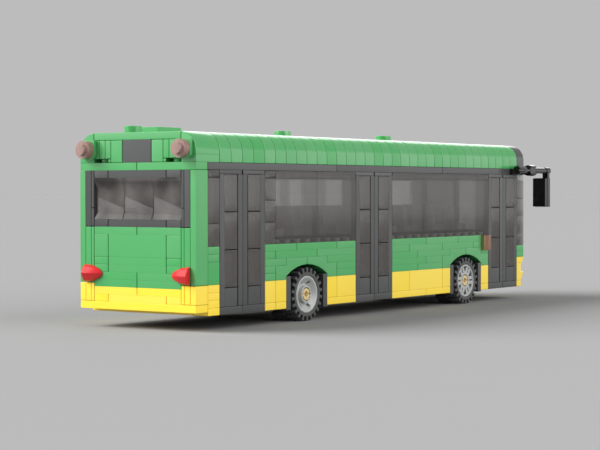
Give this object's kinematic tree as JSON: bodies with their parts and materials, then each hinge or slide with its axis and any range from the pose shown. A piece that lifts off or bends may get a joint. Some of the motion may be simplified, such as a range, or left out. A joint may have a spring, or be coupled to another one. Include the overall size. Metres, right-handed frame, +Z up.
{
  "type": "brick-built toy city bus",
  "caption": "Brick-built toy city bus with green and yellow walls, tinted glazing, curved roof bricks, free-spinning lugged wheels and turning mirror arms.",
  "frame": {"origin": "on the ground under the middle of the whole toy's box", "axes": "+X forward, +Y to the left side, +Z up"},
  "size_m": [0.3172, 0.0768, 0.0864],
  "materials": {
    "green_abs": "moulded gloss",
    "yellow_abs": "moulded gloss",
    "dark_grey_abs": "moulded gloss",
    "light_grey_abs": "moulded gloss",
    "black_abs": "moulded gloss",
    "tan_abs": "moulded gloss",
    "tinted_glazing": "tinted clear plastic",
    "red_lens": "clear red plastic",
    "marker_lens": "clear smoky red plastic",
    "orange_lens": "clear orange plastic",
    "clear_lens": "clear plastic",
    "tyre_rubber": "moulded rubber"
  },
  "bodies": {
    "bus": {"waist_course_1": "green_abs", "waist_course_2": "green_abs", "waist_course_3": "green_abs", "waist_course_4": "green_abs", "waist_course_5": "green_abs", "arch_bricks": "green_abs", "rear_green_rows_a": "green_abs", "rear_green_rows_b": "green_abs", "rear_corner_green": "green_abs", "upper_rear_bricks": "green_abs", "marker_brackets": "green_abs", "roof_slopes": "green_abs", "roof_top_plates": "green_abs", "roof_vents": "green_abs", "sill_plates": "yellow_abs", "sill_bricks": "yellow_abs", "bumper_plates": "yellow_abs", "rear_corner_yellow": "yellow_abs", "front_ribs": "yellow_abs", "chassis_plates": "dark_grey_abs", "axle_bricks": "dark_grey_abs", "bulkhead_bricks": "dark_grey_abs", "floor_plates": "dark_grey_abs", "wheel_boxes": "dark_grey_abs", "upright_bars": "dark_grey_abs", "door_kick_panels": "dark_grey_abs", "rear_grey_frame": "dark_grey_abs", "roof_base_plates": "dark_grey_abs", "roof_risers": "dark_grey_abs", "roof_front_bricks": "dark_grey_abs", "seats": "dark_grey_abs", "dashboard": "dark_grey_abs", "window_panels": "tinted_glazing", "window_bricks_a": "tinted_glazing", "window_bricks_b": "tinted_glazing", "window_top_plates": "tinted_glazing", "windscreen": "tinted_glazing", "door_glass": "tinted_glazing", "destination_display": "black_abs", "steering_wheel": "black_abs", "mirror_grips": "black_abs", "tail_lamps": "red_lens", "marker_lamps": "marker_lens", "indicators": "orange_lens", "headlamps": "clear_lens", "axle_pins": "tan_abs"},
    "wheel_rear_right": {"tyre_rear_right": "tyre_rubber", "rim_rear_right": "light_grey_abs"},
    "wheel_rear_left": {"tyre_rear_left": "tyre_rubber", "rim_rear_left": "light_grey_abs"},
    "wheel_front_right": {"tyre_front_right": "tyre_rubber", "rim_front_right": "light_grey_abs"},
    "wheel_front_left": {"tyre_front_left": "tyre_rubber", "rim_front_left": "light_grey_abs"},
    "mirror_arm_right": {"mirror_right": "black_abs"},
    "mirror_arm_left": {"mirror_left": "black_abs"}
  },
  "joints": [
    {"name": "wheel_rear_right_spin", "type": "hinge", "parent": "bus", "child": "wheel_rear_right", "pos_m": [-0.07215, 0, 0.012], "axis": [0, 1, 0], "continuous": true},
    {"name": "wheel_rear_left_spin", "type": "hinge", "parent": "bus", "child": "wheel_rear_left", "pos_m": [-0.07215, 0, 0.012], "axis": [0, 1, 0], "continuous": true},
    {"name": "wheel_front_right_spin", "type": "hinge", "parent": "bus", "child": "wheel_front_right", "pos_m": [0.07185, 0, 0.012], "axis": [0, 1, 0], "continuous": true},
    {"name": "wheel_front_left_spin", "type": "hinge", "parent": "bus", "child": "wheel_front_left", "pos_m": [0.07185, 0, 0.012], "axis": [0, 1, 0], "continuous": true},
    {"name": "mirror_arm_right_turn", "type": "hinge", "parent": "bus", "child": "mirror_arm_right", "pos_m": [0.12385, -0.036, 0.0696], "axis": [1, 0, 0], "range_deg": [-90, 90]},
    {"name": "mirror_arm_left_turn", "type": "hinge", "parent": "bus", "child": "mirror_arm_left", "pos_m": [0.12385, 0.036, 0.0696], "axis": [-1, 0, 0], "range_deg": [-90, 90]}
  ]
}
